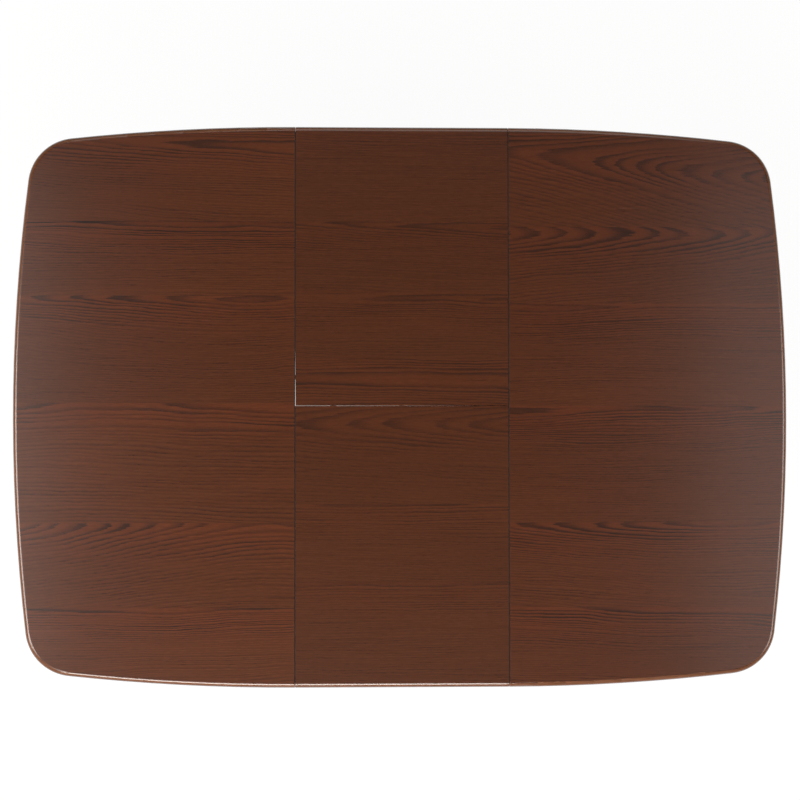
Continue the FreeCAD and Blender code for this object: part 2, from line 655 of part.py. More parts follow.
# Pads on the aprons that the top halves slide on and the leaf lies on.
pads = []
for end in ENDS.values():
    for place in ("-top_glide_place", "-leaf_glide_place", "leaf_glide_place", "top_glide_place"):
        pads.append(block("glide_pad", around(place, "glide_length"),
                          around(f"{end} * apron_middle_y", "glide_width"), ("apron_top", "underside")))
for side in SIDES.values():
    for place in ("-top_glide_place", "-leaf_glide_place", "leaf_glide_place", "top_glide_place"):
        pads.append(block("glide_pad", around(f"{side} * apron_middle_x", "glide_width"),
                          around(place, "glide_length"), ("apron_top", "underside")))
node("glide_pads", group("glide_pad_set", pads))


# Ball slides. The channel is screwed to the slide rail with its mouth towards the middle of the table. The
# carriage runs inside it on two rows of balls and carries the bearer of its top half.
def slide_section(end, half, groove=None):
    """Outline of a slide member that is alike above and below the slide's middle.

    half lists its lower half as (place across the table, distance from the middle). groove is the number
    of the side that is a ball groove and the distance of its bottom from the middle."""
    corners = [(f"{end} * ({y})", f"slide_middle - ({z})") for y, z in half]
    corners += [(f"{end} * ({y})", f"slide_middle + ({z})") for y, z in reversed(half)]
    arcs = {}
    if groove:
        side, depth = groove
        for number, sign in ((side, "-"), (2 * len(half) - 2 - side, "+")):
            bottom = (f"{end} * ball_row", f"slide_middle {sign} ({depth})")
            arcs[number] = (bottom, "ball_radius + ball_play")
    return corners, arcs


GROOVE = "sqrt((ball_radius + ball_play)^2 - (ball_radius + ball_play - ball_seat)^2)"
GROOVE_NEAR, GROOVE_FAR = f"ball_row - {GROOVE}", f"ball_row + {GROOVE}"


def channel_outline(end):
    """A back, two flanges, and a ball groove inside each flange."""
    mouth, outside = "slide_front + slide_lip_gap", "slide_height / 2"
    inside = "slide_height / 2 - slide_wall"
    half = [("slide_back", outside), (mouth, outside), (mouth, inside), (GROOVE_NEAR, inside),
            (GROOVE_FAR, inside), ("slide_back - slide_wall", inside)]
    return slide_section(end, half, (3, f"{inside} + ball_seat"))


def carriage_outline(end):
    """A front plate, two flanges, and a ball groove on the outside of each flange."""
    tip, inside = "slide_front + carriage_flange", "carriage_half - slide_wall"
    half = [("slide_front", "carriage_half"), (GROOVE_NEAR, "carriage_half"), (GROOVE_FAR, "carriage_half"),
            (tip, "carriage_half"), (tip, inside), ("slide_front + slide_wall", inside)]
    return slide_section(end, half, (1, "carriage_half - ball_seat"))


def cage_outline(end):
    """Two strips that hold the balls, joined by a web behind the carriage."""
    tip, inside = "ball_row - cage_width / 2", "cage_half - cage_thick"
    half = [("cage_back", "cage_half"), (tip, "cage_half"), (tip, inside), ("cage_back - cage_thick", inside)]
    return slide_section(end, half)


def slides(side_name):
    side = SIDES[side_name]
    channels, carriages, cages, balls, screws = [], [], [], [], []
    cage_middle = "bearer_middle + cage_shift"
    cage_reach = f"({BALLS_IN_A_ROW} - 1) / 2 * ball_pitch + cage_margin"
    for end_name, end in ENDS.items():
        tag = f"{end_name}_{side_name}"
        whole_run = span(side, "slide_centre_gap", "apron_inner_x - slide_end_gap")
        channels.append(prism(f"channel_{tag}", "YZ_Plane", whole_run, *channel_outline(end)))
        carriages.append(prism(f"carriage_{tag}", "YZ_Plane",
                               span(side, "bearer_near", "bearer_far"), *carriage_outline(end)))
        strip = prism(f"cage_{tag}", "YZ_Plane",
                      span(side, f"{cage_middle} - ({cage_reach})", f"{cage_middle} + {cage_reach}"),
                      *cage_outline(end))
        holes = []
        for number in range(BALLS_IN_A_ROW):
            place = f"{side} * ({cage_middle} + ({number} - ({BALLS_IN_A_ROW} - 1) / 2) * ball_pitch)"
            holes.append(rod("ball_window", "z", (place, f"{end} * ball_row"), "ball_radius + ball_play",
                             ("slide_low", "slide_top")))
            for sign in (-1, 1):
                ball = doc.addObject("Part::Sphere", "slide_ball")
                ball.setExpression("Radius", bind("ball_radius"))
                ball.setExpression("Placement.Base.x", bind(place))
                ball.setExpression("Placement.Base.y", bind(f"{end} * ball_row"))
                ball.setExpression("Placement.Base.z", bind(f"slide_middle + {sign} * ball_rise"))
                balls.append(ball)
        cages.append(cut(f"cage_{tag}_pierced", strip, holes))
        board = block(f"bearer_{tag}_board", span(side, "bearer_near", "bearer_far"),
                      span(end, "slide_front - bearer_thick", "slide_front"), ("bearer_low", "underside"))
        bores = []
        for centre in bearer_screw_places(side, end):
            bores.append(rod("bearer_bore", "z", centre, "screw_radius + screw_fit",
                             ("bearer_low - overrun", "underside + overrun")))
            shank = rod("bearer_screw_shank", "z", centre, "screw_radius",
                        ("bearer_low", "underside + screw_bite"))
            head = rod("bearer_screw_head", "z", centre, "screw_head_radius",
                       ("bearer_low - screw_head", "bearer_low"))
            screws.append(joined("bearer_screw", [shank, head]))
        node(f"bearer_{tag}", cut(f"bearer_{tag}_bored", board, bores))
    node(f"slide_channels_{side_name}", group(f"channels_{side_name}", channels))
    node(f"slide_carriages_{side_name}", group(f"carriages_{side_name}", carriages))
    node(f"ball_cages_{side_name}", group(f"cages_{side_name}", cages))
    node(f"slide_balls_{side_name}", group(f"balls_{side_name}", balls))
    node(f"bearer_screws_{side_name}", group(f"screws_{side_name}", screws))


for side_name in SIDES:
    slides(side_name)


# Swing arms. On each side a pair of equal arms turns in a U bracket on the cross rail and carries an angle
# bracket under the leaf's front half, so that half stays level while it lifts, shifts and drops.
ARMS_ON_A_SIDE = 2


def bracket_stretch(place):
    """The run of a bracket whose first pivot is at that distance in front of the fold."""
    return span(ENDS["front"], f"{place} - bracket_margin",
                f"{place} + ({ARMS_ON_A_SIDE} - 1) * arm_spacing + bracket_margin")


def pivot_y(place, number):
    """Where a numbered pivot lies, counted forwards from the first one."""
    return f"-({place} + {number} * arm_spacing)"


def pivot_holes(name, side, near, far, first, height):
    return [
        rod(name, "x", (pivot_y(first, number), height), "pin_radius + pin_play",
            span(side, f"{near} - overrun", f"{far} + overrun"))
        for number in range(ARMS_ON_A_SIDE)
    ]


def arm_bracket(side_name):
    side = SIDES[side_name]
    low, high = "pivot_z - bracket_fall", "pivot_z + bracket_rise"
    near, back = "upright_near", "cross_rail_near"
    section = [
        (near, low), (back, low), (back, high), (f"{back} - bracket_thick", high),
        (f"{back} - bracket_thick", f"{low} + bracket_thick"),
        (f"{near} + bracket_thick", f"{low} + bracket_thick"),
        (f"{near} + bracket_thick", high), (near, high),
    ]
    body = prism(f"arm_bracket_{side_name}_strip", "XZ_Plane", bracket_stretch("pivot_setback"),
                 [(f"{side} * ({u})", v) for u, v in section])
    holes = pivot_holes("arm_bracket_hole", side, near, f"{near} + bracket_thick", "pivot_setback", "pivot_z")
    node(f"arm_bracket_{side_name}", cut(f"arm_bracket_{side_name}_bored", body, holes))


def leaf_bracket(side_name):
    side = SIDES[side_name]
    low = "swivel_z - bracket_rise"
    section = [
        ("leaf_plate_near", low), ("leaf_plate_far", low), ("leaf_plate_far", "underside"),
        ("leaf_plate_far - leaf_bracket_flange", "underside"),
        ("leaf_plate_far - leaf_bracket_flange", "underside - bracket_thick"),
        ("leaf_plate_near", "underside - bracket_thick"),
    ]
    body = prism(f"leaf_bracket_{side_name}_strip", "XZ_Plane", bracket_stretch("swivel_setback"),
                 [(f"{side} * ({u})", v) for u, v in section])
    holes = pivot_holes("leaf_bracket_hole", side, "leaf_plate_near", "leaf_plate_far", "swivel_setback",
                        "swivel_z")
    node(f"leaf_bracket_{side_name}", cut(f"leaf_bracket_{side_name}_bored", body, holes))


def swing_arm(name, side, number):
    """An arm with round ends, a pivot hole at each, leaning from its bracket up to the leaf."""
    low, high = pivot_y("pivot_setback", number), pivot_y("swivel_setback", number)
    # The arm's direction and the one square to it, times the radius of its ends.
    lean, rise = "arm_radius * arm_lean / arm_length", "arm_radius * (swivel_z - pivot_z) / arm_length"
    corners = [
        (f"{low} - {rise}", f"pivot_z - {lean}"), (f"{high} - {rise}", f"swivel_z - {lean}"),
        (f"{high} + {rise}", f"swivel_z + {lean}"), (f"{low} + {rise}", f"pivot_z + {lean}"),
    ]
    arcs = {
        1: ((f"{high} - {lean}", f"swivel_z + {rise}"), None),
        3: ((f"{low} + {lean}", f"pivot_z - {rise}"), None),
    }
    hole = "pin_radius + pin_play"
    holes = [((low, "pivot_z"), hole), ((high, "swivel_z"), hole)]
    return prism(name, "YZ_Plane", span(side, "arm_inner", "arm_outer"), corners, arcs, holes)


def pivot_pin(name, side, place, shank, head):
    """A headed pin along X: shank and head are stretches from the middle of the table outwards."""
    pieces = [rod(name + "_shank", "x", place, "pin_radius", span(side, *shank)),
              rod(name + "_head", "x", place, "pin_head_radius", span(side, *head))]
    return joined(name, pieces)


frame_pins, leaf_pins = [], []
for side_name, side in SIDES.items():
    arm_bracket(side_name)
    leaf_bracket(side_name)
    for number in range(ARMS_ON_A_SIDE):
        frame_pins.append(pivot_pin(
            "frame_pin", side, (pivot_y("pivot_setback", number), "pivot_z"),
            ("arm_inner - pin_proud", "upright_near + bracket_thick"),
            ("upright_near + bracket_thick", "upright_near + bracket_thick + pin_head")))
        leaf_pins.append(pivot_pin(
            "leaf_pin", side, (pivot_y("swivel_setback", number), "swivel_z"),
            ("leaf_plate_near", "arm_outer + pin_proud"), ("leaf_plate_near - pin_head", "leaf_plate_near")))
for number, label in enumerate(("swing_arms_inner", "swing_arms_outer")):
    arms = [swing_arm(f"{label}_{side_name}", side, number) for side_name, side in SIDES.items()]
    node(label, group(label + "_pair", arms))
node("frame_pivot_pins", group("frame_pin_set", frame_pins))
node("leaf_pivot_pins", group("leaf_pin_set", leaf_pins))


# Swivel latches. A flat hook turns on a headed pivot under each top half and catches a keeper stud under
# the leaf. The hooks are modelled turned back, clear of the keepers.
def latch_hook(side_name, end_name):
    """A hook that points away from the fold; its slot opens towards the joint."""
    side, end = SIDES[side_name], ENDS[end_name]

    def x(inward):
        return f"{side} * (latch_x - ({inward}))"

    def y(outward):
        return f"{end} * (latch_place + {outward})"

    slot_low, slot_high = "hook_reach - hook_slot / 2", "hook_reach + hook_slot / 2"
    corners = [
        (x("hook_half_width"), y("0")), (x("hook_half_width"), y(slot_low)),
        (x("-hook_slot_depth"), y(slot_low)), (x("-hook_slot_depth"), y(slot_high)),
        (x("hook_half_width"), y(slot_high)), (x("hook_half_width"), y("hook_reach + hook_tip")),
        (x("-hook_half_width"), y("hook_reach + hook_tip")), (x("-hook_half_width"), y("0")),
    ]
    arcs = {7: ((x("0"), y("-hook_half_width")), None)}
    hole = ((x("0"), y("0")), "latch_pin_radius + pin_play")
    label = f"latch_hook_{end_name}_{side_name}"
    node(label, prism(label + "_plate", "XY_Plane", ("hook_low", "hook_top"), corners, arcs, [hole]))


def latch_pivot(side, end):
    """Headed pivot of a hook, with a collar that holds the hook off the top."""
    centre = (f"{side} * latch_x", f"{end} * latch_place")
    pieces = [
        rod("latch_head", "z", centre, "latch_head_radius",
            ("hook_low - hook_play - latch_head", "hook_low - hook_play")),
        rod("latch_shank", "z", centre, "latch_pin_radius", ("hook_low - hook_play", "underside")),
        rod("latch_collar", "z", centre, "latch_head_radius", ("hook_top + hook_play", "underside")),
    ]
    return joined("latch_pivot", pieces)


def keeper(side, end):
    """Stud under the leaf that a hook catches."""
    centre = (f"{side} * keeper_x", f"{end} * latch_place")
    stud = rod("keeper_stud", "z", centre, "latch_pin_radius", ("underside - keeper_length", "underside"))
    cap = rod("keeper_cap", "z", centre, "latch_head_radius",
              ("underside - keeper_length - keeper_head", "underside - keeper_length"))
    return joined("keeper", [stud, cap])


for side_name, side in SIDES.items():
    for end_name in ENDS:
        latch_hook(side_name, end_name)
    node(f"latch_pivots_{side_name}", group(f"latch_pivots_{side_name}_pair",
                                            [latch_pivot(side, end) for end in ENDS.values()]))
for end_name, end in ENDS.items():
    node(f"latch_keepers_{end_name}", group(f"latch_keepers_{end_name}_pair",
                                            [keeper(side, end) for side in SIDES.values()]))

# Every object has to be sound before anything is written.
doc.recompute()
for item in doc.Objects:
    if "Invalid" in item.State or "Error" in item.State:
        raise RuntimeError(f"{item.Name} ({item.Label}) did not rebuild: {item.State}")
for label, piece in nodes.items():
    if piece.Shape.isNull() or not piece.Shape.isValid():
        raise RuntimeError(f"{label} has no sound shape")
os.makedirs("parts", exist_ok=True)
for label, piece in nodes.items():
    piece.Shape.exportStep(f"parts/{label}.step")
print(len(nodes), "nodes written")
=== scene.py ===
import bpy
import numpy as np
from mathutils import Matrix, Vector


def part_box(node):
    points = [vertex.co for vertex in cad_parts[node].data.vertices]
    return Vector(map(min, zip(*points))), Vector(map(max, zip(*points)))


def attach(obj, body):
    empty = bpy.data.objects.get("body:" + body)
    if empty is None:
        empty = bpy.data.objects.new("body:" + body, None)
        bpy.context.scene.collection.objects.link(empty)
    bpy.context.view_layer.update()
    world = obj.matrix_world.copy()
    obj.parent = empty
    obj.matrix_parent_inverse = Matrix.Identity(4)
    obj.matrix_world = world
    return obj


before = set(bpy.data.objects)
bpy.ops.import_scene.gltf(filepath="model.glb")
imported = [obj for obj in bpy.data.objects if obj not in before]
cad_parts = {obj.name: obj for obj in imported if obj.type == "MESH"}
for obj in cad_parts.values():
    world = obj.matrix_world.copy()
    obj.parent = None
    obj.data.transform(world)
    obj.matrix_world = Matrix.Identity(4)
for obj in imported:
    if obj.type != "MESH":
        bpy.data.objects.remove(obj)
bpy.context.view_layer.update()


# Legs. Square hardwood legs, tapered below the apron on their two inner faces, with eased corners.
# They are stained dark brown with the grain upright and finished with a satin lacquer.
def wire(tree, kind, feed=None, **settings):
    """Adds a shader node, sets its options and feeds its inputs with numbers or other nodes' outputs."""
    made = tree.nodes.new("ShaderNode" + kind)
    for key, setting in settings.items():
        setattr(made, key, setting)
    for key, source in (feed or {}).items():
        if isinstance(source, bpy.types.NodeSocket):
            tree.links.new(source, made.inputs[key])
        else:
            made.inputs[key].default_value = source
    return made


def calc(tree, rule, *terms):
    """The result of one arithmetic rule on numbers or outputs."""
    return wire(tree, "Math", dict(enumerate(terms)), operation=rule).outputs[0]


def slope(tree, term, low, high, bottom=0.0, top=1.0):
    """A smooth step: bottom below low, top above high."""
    feed = {"Value": term, "From Min": low, "From Max": high, "To Min": bottom, "To Max": top}
    return wire(tree, "MapRange", feed, interpolation_type="SMOOTHSTEP").outputs[0]


def cloud(tree, place, per_metre, shift=0.0, detail=2.0):
    """Noise from -0.5 to 0.5 with that many cells per metre on each axis."""
    scaled = [calc(tree, "MULTIPLY", axis, cells) for axis, cells in zip(place, per_metre)]
    scaled[2] = calc(tree, "ADD", scaled[2], shift)
    vector = wire(tree, "CombineXYZ", dict(enumerate(scaled))).outputs[0]
    noise = wire(tree, "TexNoise", {"Vector": vector, "Scale": 1.0, "Detail": detail}).outputs[0]
    return calc(tree, "SUBTRACT", noise, 0.5)


def drawn(along, across, lengthways):
    """Noise cells per metre on the three axes: fewer along one of them, which draws the noise out."""
    return [lengthways if axis == along else across for axis in range(3)]


def blend(tree, share, first, second):
    """First colour where share is 0, second colour where it is 1."""
    mix = wire(tree, "Mix", {"Factor": share}, data_type="RGBA")
    for socket, source in ((mix.inputs[6], first), (mix.inputs[7], second)):
        if isinstance(source, bpy.types.NodeSocket):
            tree.links.new(source, socket)
        else:
            socket.default_value = (*source, 1.0)
    return mix.outputs[2]


def shaded(tree, colour, share):
    """A colour made lighter or darker: times 1 + share."""
    grow = calc(tree, "ADD", 1.0, share)
    return wire(tree, "VectorMath", {0: colour, "Scale": grow}, operation="SCALE").outputs[0]


def paint(red, green, blue):
    """A colour as a screen shows it, 0 to 255, turned into light by the screen's own curve."""
    shown = np.array([red, green, blue]) / 255.0
    light = np.where(shown <= 0.04045, shown / 12.92, ((shown + 0.055) / 1.055) ** 2.4)
    return tuple(float(part) for part in light)


def finish(name, metallic=0.0, roughness=0.5, coat=0.0, coat_roughness=0.2, turn=0.0):
    """A new material with its shader's plain values, its node tree, shader and place in metres.

    The place can be turned about the upright axis, for a piece that stands askew."""
    material = bpy.data.materials.new(name)
    material.use_nodes = True
    tree = material.node_tree
    shader = tree.nodes["Principled BSDF"]
    shader.inputs["Metallic"].default_value = metallic
    shader.inputs["Roughness"].default_value = roughness
    shader.inputs["Coat Weight"].default_value = coat
    shader.inputs["Coat Roughness"].default_value = coat_roughness
    where = wire(tree, "TexCoord").outputs["Object"]
    if turn:
        where = wire(tree, "Mapping", {"Vector": where, "Rotation": (0.0, 0.0, turn)}).outputs[0]
    split = wire(tree, "SeparateXYZ", {0: where})
    return material, tree, shader, [split.outputs[axis] for axis in range(3)]


def set_surface(tree, shader, colour, roughness, height, depth):
    """Feeds a shader its colour, its roughness and a bump of that depth in metres."""
    tree.links.new(colour, shader.inputs["Base Color"])
    tree.links.new(roughness, shader.inputs["Roughness"])
    bump = wire(tree, "Bump", {"Height": height, "Strength": 1.0, "Distance": depth})
    tree.links.new(bump.outputs[0], shader.inputs["Normal"])


def dress(material, *names):
    """Gives a material to solids of the frame, in place of their plain one."""
    for name in names:
        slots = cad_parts[name].data.materials
        slots.clear()
        slots.append(material)


def late_wood(tree, turns, fibre, seed, uneven, ragged, start, full, fall):
    """The share of dark late wood, from turns, the count of rings from the heart.

    Slow noise makes the rings uneven in width and the fibre makes them ragged. The fraction of the count is
    a saw-tooth, which darkens from start to full and ends abruptly after fall."""
    beat = {"W": calc(tree, "MULTIPLY_ADD", turns, 0.37, seed), "Scale": 1.0, "Detail": 1.0}
    widths = wire(tree, "TexNoise", beat, noise_dimensions="1D").outputs[0]
    turns = calc(tree, "MULTIPLY_ADD", widths, uneven, turns)
    turns = calc(tree, "MULTIPLY_ADD", fibre, ragged, turns)
    ring = calc(tree, "FRACT", turns)
    return calc(tree, "MULTIPLY", slope(tree, ring, start, full), slope(tree, ring, fall, 1.0, 1.0, 0.0))


def sawn_wood(name, along, light, dark, pitch=0.007, gloss=0.36, coat=0.2, streaks=0.34, lines=0.85,
              turn=0.0):
    """Straight-grained wood sawn along one axis (0, 1 or 2): rings, fibre streaks and open pores.

    A ring is a saw-tooth of the distance from a heart that lies outside the piece, bent by slow noise, and
    its dark edge is stronger in some patches than in others. Pitch is a ring's width in metres, streaks the
    strength of the fibre's shade and lines that of the rings' dark edges."""
    heart_slant, drift, pore_share, pore_depth = 0.6, 0.06, 0.35, 0.00006
    material, tree, shader, place = finish(name, roughness=gloss, coat=coat, turn=turn)
    side, deep = [axis for axis in range(3) if axis != along]
    slow = cloud(tree, place, drawn(along, 6.0, 1.4), 3.0, 1.0)
    fibre = cloud(tree, place, drawn(along, 630.0, 28.0), 7.0, 3.0)
    patch = slope(tree, cloud(tree, place, drawn(along, 22.5, 1.0), 15.0), -0.2, 0.2, 0.3, 1.0)
    pores = slope(tree, cloud(tree, place, drawn(along, 1260.0, 56.0), 11.0), 0.12, 0.22)
    across = calc(tree, "MULTIPLY_ADD", place[deep], heart_slant, place[side])
    across = calc(tree, "MULTIPLY_ADD", slow, drift, across)
    late = late_wood(tree, calc(tree, "DIVIDE", across, pitch), fibre, 0.0, 2.2, 0.6, 0.2, 0.85, 0.88)
    late = calc(tree, "MULTIPLY", calc(tree, "MULTIPLY", late, patch), lines)
    colour = blend(tree, late, light, dark)
    colour = blend(tree, calc(tree, "MULTIPLY", pores, pore_share), colour, dark)
    colour = shaded(tree, colour, calc(tree, "MULTIPLY", calc(tree, "ADD", fibre, slow), streaks))
    rough = calc(tree, "MULTIPLY_ADD", fibre, 0.12, gloss)
    set_surface(tree, shader, colour, rough, calc(tree, "SUBTRACT", fibre, pores), pore_depth)
    return material


DARK_LINE, STAIN, RED_STAIN = paint(40, 22, 14), paint(77, 40, 20), paint(89, 43, 22)
SIDES = ("left", "right")
CORNERS = [f"{end}_{side}" for end in ("front", "rear") for side in SIDES]
dress(sawn_wood("stained_upright", 2, STAIN, DARK_LINE), *[f"leg_{corner}" for corner in CORNERS])


# Foot glides. Discs of dark nylon, moulded with a faint texture.
# Each is nailed under a leg, so that the table slides without marking the floor.
def moulded(name, colour, gloss):
    """Moulded plastic: an even colour with cloudy shade and a fine sparked grain."""
    grain_depth = 0.00004
    material, tree, shader, place = finish(name, roughness=gloss)
    grain = cloud(tree, place, (1800.0,) * 3, 2.0)
    shade = cloud(tree, place, (30.0,) * 3, 5.0)
    shade = calc(tree, "MULTIPLY_ADD", grain, 0.12, calc(tree, "MULTIPLY", shade, 0.25))
    rough = calc(tree, "MULTIPLY_ADD", grain, 0.15, gloss)
    set_surface(tree, shader, shaded(tree, colour, shade), rough, grain, grain_depth)
    return material


nylon = moulded("dark_nylon", paint(58, 54, 50), 0.55)
dress(nylon, "foot_glides")


# Aprons. Four stained hardwood rails between the legs, set back a little from the legs' faces.
# Their grain runs lengthways, so the end aprons have a finish of their own.
dress(sawn_wood("stained_along", 0, STAIN, DARK_LINE), "apron_front", "apron_rear")
dress(sawn_wood("stained_across", 1, STAIN, DARK_LINE), "apron_left", "apron_right")


# Corner braces. Plain hardwood blocks across each corner, sawn off at 45 degrees and left unfinished.
# Their grain runs along the block, which falls or rises across the table as seen from above.
PALE, PALE_DARK = paint(198, 162, 120), paint(160, 118, 78)


def beech(name, along, turn=0.0):
    """Pale close-grained wood as it comes from the saw, without lacquer."""
    return sawn_wood(name, along, PALE, PALE_DARK, pitch=0.006, gloss=0.6, coat=0.0, streaks=0.12,
                     lines=0.55, turn=turn)


askew = np.radians(45.0)
dress(beech("plain_wood_falling", 0, askew), "corner_brace_front_left", "corner_brace_rear_right")
dress(beech("plain_wood_rising", 0, -askew), "corner_brace_front_right", "corner_brace_rear_left")


# Leg bolts and nuts. Zinc-plated steel hanger bolts with hexagon nuts.
# They run through the corner braces and draw each leg into its corner.
def plated(name, colour, gloss, brushed=None):
    """Plated steel: cloudy crystals in the zinc and fine scratches, drawn out along one axis if brushed."""
    scratch_depth = 0.00003
    material, tree, shader, place = finish(name, metallic=1.0, roughness=gloss)
    scratch = cloud(tree, place, drawn(brushed, 700.0, 12.0), 1.0, 3.0)
    bloom = cloud(tree, place, (55.0,) * 3, 4.0, 3.0)
    shade = calc(tree, "MULTIPLY_ADD", scratch, 0.18, calc(tree, "MULTIPLY", bloom, 0.22))
    rough = calc(tree, "MULTIPLY_ADD", calc(tree, "ADD", bloom, scratch), 0.2, gloss)
    set_surface(tree, shader, shaded(tree, colour, shade), rough, scratch, scratch_depth)
    return material


zinc = plated("zinc_plate", paint(186, 188, 190), 0.34)
dress(zinc, "leg_bolts", "leg_nuts")


# Cross rails and pegs. Two plain hardwood rails across the frame, which carry the slide rails and the arm
# brackets, and the short round pegs in them that the folded leaf comes to rest on.
beech_along, beech_across = beech("plain_wood_along", 0), beech("plain_wood_across", 1)
dress(beech_across, "cross_rail_left", "cross_rail_right")
dress(beech_along, "leaf_rest_pegs")


# Slide rails. Plain hardwood rails along the frame, front and rear.
# They lie on the cross rails, and the ball slides are screwed to their sides.
dress(beech_along, "slide_rail_front", "slide_rail_rear")


# Ball slides. Channels and carriages rolled from zinc-plated strip, which leaves fine lines along them.
# Polished steel balls run between the two in cages of grey plastic.
zinc_along = plated("rolled_zinc_along", paint(182, 184, 187), 0.3, 0)
dress(zinc_along, *[f"slide_channels_{side}" for side in SIDES])
dress(zinc_along, *[f"slide_carriages_{side}" for side in SIDES])
dress(moulded("cage_grey", paint(152, 150, 146), 0.5), *[f"ball_cages_{side}" for side in SIDES])
dress(plated("ball_steel", paint(214, 214, 216), 0.12), *[f"slide_balls_{side}" for side in SIDES])


# Bearers. Plain hardwood blocks on edge, between the carriages and the top halves.
# Long zinc-plated wood screws go up through them into the top.
dress(beech_along, *[f"bearer_{corner}" for corner in CORNERS])
dress(zinc, *[f"bearer_screws_{side}" for side in SIDES])


# Glide pads. Strips of dark nylon on the upper edges of the aprons.
# The top halves and the leaf rest on them and slide over them.
dress(nylon, "glide_pads")


# Swing arms. Flat steel arms on headed pins, between U brackets on the cross rails and angle brackets
# under the leaf. All are zinc plated; the brackets are bent from rolled strip.
zinc_across = plated("rolled_zinc_across", paint(182, 184, 187), 0.3, 1)
dress(zinc, "swing_arms_inner", "swing_arms_outer", "frame_pivot_pins", "leaf_pivot_pins")
dress(zinc_across, "arm_bracket_left", "arm_bracket_right", "leaf_bracket_left", "leaf_bracket_right")


# Leaf bracket screws. Zinc pan-head wood screws with a cross recess, three through the flange of each
# angle bracket into the underside of the leaf's front board.
def ease(term, low, high):
    """A smooth step of an array: 0 at low, 1 at high, and level beyond."""
    share = np.clip((term - low) / (high - low), 0.0, 1.0)
    return share * share * (3.0 - 2.0 * share)


def pan_heads(name, seats, radius=0.004, rise=0.0024, deep=0.0013):
    """Screw heads that hang from the given points, as one mesh of rings and angles.

    The rings widen over the crown and end on the flat seat. The crown's height is
    rise * (1 - fall * share^4), where share is the part of the radius, less the recess: deep wherever the
    smaller of the distances from the two slots' middle lines is under half a slot and the larger is within
    a slot's reach."""
    crown_rings, angles, fall = 20, 64, 0.45
    slot_floor, slot_edge, reach_floor, reach_edge = 0.00040, 0.00065, 0.0019, 0.0023
    turns = np.linspace(0.0, 2.0 * np.pi, angles, endpoint=False)
    share = np.linspace(0.0, 1.0, crown_rings + 1)[1:, None]
    wide = np.vstack([share, [[1.0]]]) * radius
    east, north = wide * np.cos(turns), wide * np.sin(turns)
    near, far = np.minimum(abs(east), abs(north))[:-1], np.maximum(abs(east), abs(north))[:-1]
    recess = deep * ease(near, slot_edge, slot_floor) * ease(far, reach_edge, reach_floor)
    drop = np.vstack([rise * (1.0 - fall * share ** 4) - recess, np.zeros((1, angles))])
    rings = np.stack([east, north, -drop], axis=-1)
    poles = np.array([[0.0, 0.0, deep - rise], [0.0, 0.0, 0.0]])
    head = np.vstack([rings.reshape(-1, 3), poles])
    place = np.arange(rings.shape[0] * angles).reshape(-1, angles)
    beside = np.roll(place, -1, axis=1)
    quads = np.stack([place[:-1], beside[:-1], beside[1:], place[1:]], axis=-1).reshape(-1, 4)
    crown_pole, seat_pole = np.full(angles, len(head) - 2), np.full(angles, len(head) - 1)
    fans = np.vstack([np.stack([crown_pole, beside[0], place[0]], axis=-1),
                      np.stack([seat_pole, place[-1], beside[-1]], axis=-1)])
    seats = np.array(seats)
    skip = np.arange(len(seats))[:, None, None] * len(head)
    mesh = bpy.data.meshes.new(name)
    mesh.from_pydata((seats[:, None] + head).reshape(-1, 3).tolist(), [],
                     [*(quads + skip).reshape(-1, 4).tolist(), *(fans + skip).reshape(-1, 3).tolist()])
    mesh.shade_smooth()
    mesh.set_sharp_from_angle(angle=np.radians(40.0))
    made = bpy.data.objects.new(name, mesh)
    bpy.context.scene.collection.objects.link(made)
    return made


plate_thick, end_margin, screws_each = 0.003, 0.015, 3
seats = []
for side, inward in zip(SIDES, (1.0, -1.0)):
    low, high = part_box(f"leaf_bracket_{side}")
    middle = (low[0] + high[0] + inward * plate_thick) / 2
    rows = np.linspace(low[1] + end_margin, high[1] - end_margin, screws_each)
    seats += [(middle, row, high[2] - plate_thick) for row in rows]
bracket_screws = pan_heads("leaf_bracket_screws", seats)
bracket_screws.data.materials.append(zinc)
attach(bracket_screws, "leaf_front_half")


# Top halves. Boards veneered in strips of dark stained ash laid along the table, each sliced so that its
# flame figure lies at the strip's rear edge and runs out into straight grain; satin lacquer over all.
JOINT_X, RIM_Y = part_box("leaf_front")[1][0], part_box("left_top")[1][1]
# Pale paint for the rim, partly stain worn thin and partly a painted highlight, and for the fold's arris, a
# painted highlight. The dark colour is painted shade in the joints' arrises.
WEAR_AND_HIGHLIGHT, JOINT_SHADE = paint(122, 80, 55), paint(42, 33, 28)


